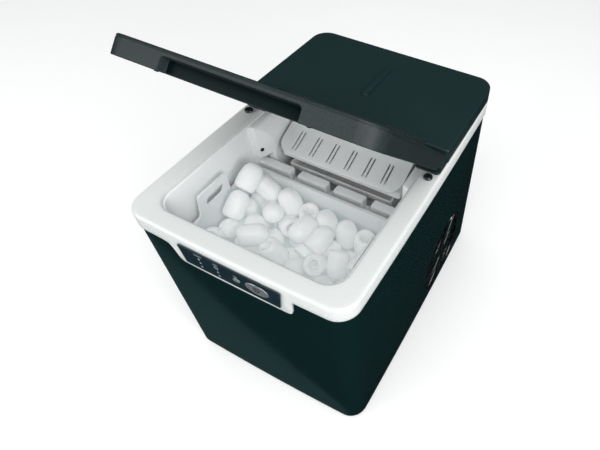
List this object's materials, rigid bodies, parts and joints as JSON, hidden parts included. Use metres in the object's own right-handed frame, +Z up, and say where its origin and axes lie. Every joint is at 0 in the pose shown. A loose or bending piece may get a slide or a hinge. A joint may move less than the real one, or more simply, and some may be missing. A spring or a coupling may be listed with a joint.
{
  "type": "ice maker",
  "caption": "Countertop ice maker: tall rounded box with a hinged lid half open over a white tub, lift-out ice basket, ice shovel, front keypad and a fan vent at the side.",
  "frame": {"origin": "on the table at the middle of the machine's outline, under the feet", "axes": "+Z up, -Y towards the user and the control panel, +X to the user's right"},
  "size_m": [0.2418, 0.3401, 0.4009],
  "materials": {
    "cabinet_black": "gloss",
    "back_black": "satin",
    "galvanised_steel": "satin",
    "frame_white": "satin",
    "cover_black": "satin",
    "lid_black": "fine grain",
    "lid_inner_black": "satin",
    "foot_rubber": "matte",
    "screw_black": "black oxide",
    "panel_navy": "gloss",
    "indicator_lens": "clear",
    "circuit_board": "solder mask",
    "button_silver": "metallised",
    "inner_white": "satin",
    "basket_white": "satin",
    "shovel_white": "satin",
    "foam_white": "foam",
    "nickel_plate": "plated",
    "motor_steel": "satin",
    "sensor_black": "gloss",
    "compressor_black": "satin",
    "fin_aluminium": "mill",
    "duct_black": "satin",
    "copper_pipe": "drawn",
    "pump_white": "moulded",
    "silicone_hose": "translucent",
    "pin_steel": "satin"
  },
  "bodies": {
    "cabinet": {"cabinet_shell": "cabinet_black", "base_pan": "galvanised_steel", "back_panel": "back_black", "top_frame": "frame_white", "rear_cover": "cover_black", "foot_front_left": "foot_rubber", "foot_front_right": "foot_rubber", "foot_back_left": "foot_rubber", "foot_back_right": "foot_rubber", "frame_screw_left": "screw_black", "frame_screw_right": "screw_black", "control_overlay": "panel_navy", "light_guide": "indicator_lens", "control_board": "circuit_board", "tub_liner": "inner_white", "foam_jacket": "foam_white", "evaporator_frame": "inner_white", "evaporator": "nickel_plate", "tray_motor": "motor_steel", "ice_sensor_left": "sensor_black", "ice_sensor_right": "sensor_black", "compressor": "compressor_black", "condenser": "fin_aluminium", "fan_shroud": "duct_black", "fan_motor": "motor_steel", "fan_guard": "cabinet_black", "suction_pipe": "copper_pipe", "discharge_pipe": "copper_pipe", "filter_drier": "copper_pipe", "capillary_tube": "copper_pipe", "water_pump": "pump_white", "pump_hose": "silicone_hose", "fill_spout": "pump_white", "drain_hose": "silicone_hose", "drain_spigot": "pump_white", "cord_gland": "foot_rubber", "power_board": "circuit_board", "hinge_pin_left": "pin_steel", "hinge_pin_right": "pin_steel"},
    "lid": {"lid_shell": "lid_black", "lid_inner_panel": "lid_inner_black", "lid_bumper_left": "foot_rubber", "lid_bumper_right": "foot_rubber"},
    "basket": {"ice_basket": "basket_white"},
    "tray": {"water_tray": "inner_white"},
    "shovel": {"ice_shovel": "shovel_white"},
    "power_key": {"power_button": "button_silver"},
    "select_key": {"select_button": "button_silver"},
    "fan": {"fan_rotor": "duct_black"},
    "drain_plug": {"drain_cap": "foot_rubber"}
  },
  "joints": [
    {"name": "lid_hinge", "type": "hinge", "parent": "cabinet", "child": "lid", "pos_m": [0, 0.0211, 0.265], "axis": [-1, 0, 0], "range_deg": [-44.8, 48]},
    {"name": "basket_lift", "type": "slide", "parent": "cabinet", "child": "basket", "axis": [0, 0, 1], "range_m": [0, 0.072]},
    {"name": "power_button_press", "type": "slide", "parent": "cabinet", "child": "power_key", "axis": [0, 1, 0], "range_m": [0, 0.0012], "stiffness_N_per_m": 400},
    {"name": "select_button_press", "type": "slide", "parent": "cabinet", "child": "select_key", "axis": [0, 1, 0], "range_m": [0, 0.0012], "stiffness_N_per_m": 400},
    {"name": "fan_spin", "type": "hinge", "parent": "cabinet", "child": "fan", "pos_m": [0.098, 0.0626, 0.0673], "axis": [1, 0, 0], "continuous": true},
    {"name": "tray_tilt", "type": "hinge", "parent": "cabinet", "child": "tray", "pos_m": [0, 0.0316, 0.19], "axis": [1, 0, 0], "range_deg": [0, 65]},
    {"name": "shovel_push", "type": "slide", "parent": "cabinet", "child": "shovel", "axis": [0, -1, 0], "range_m": [0, 0.024]},
    {"name": "drain_cap_pull", "type": "slide", "parent": "cabinet", "child": "drain_plug", "axis": [0, 1, 0], "range_m": [0, 0.03]}
  ],
  "couplings": [
    {"joint": "shovel_push", "follows": "tray_tilt", "m_per_rad": 0.021151}
  ]
}
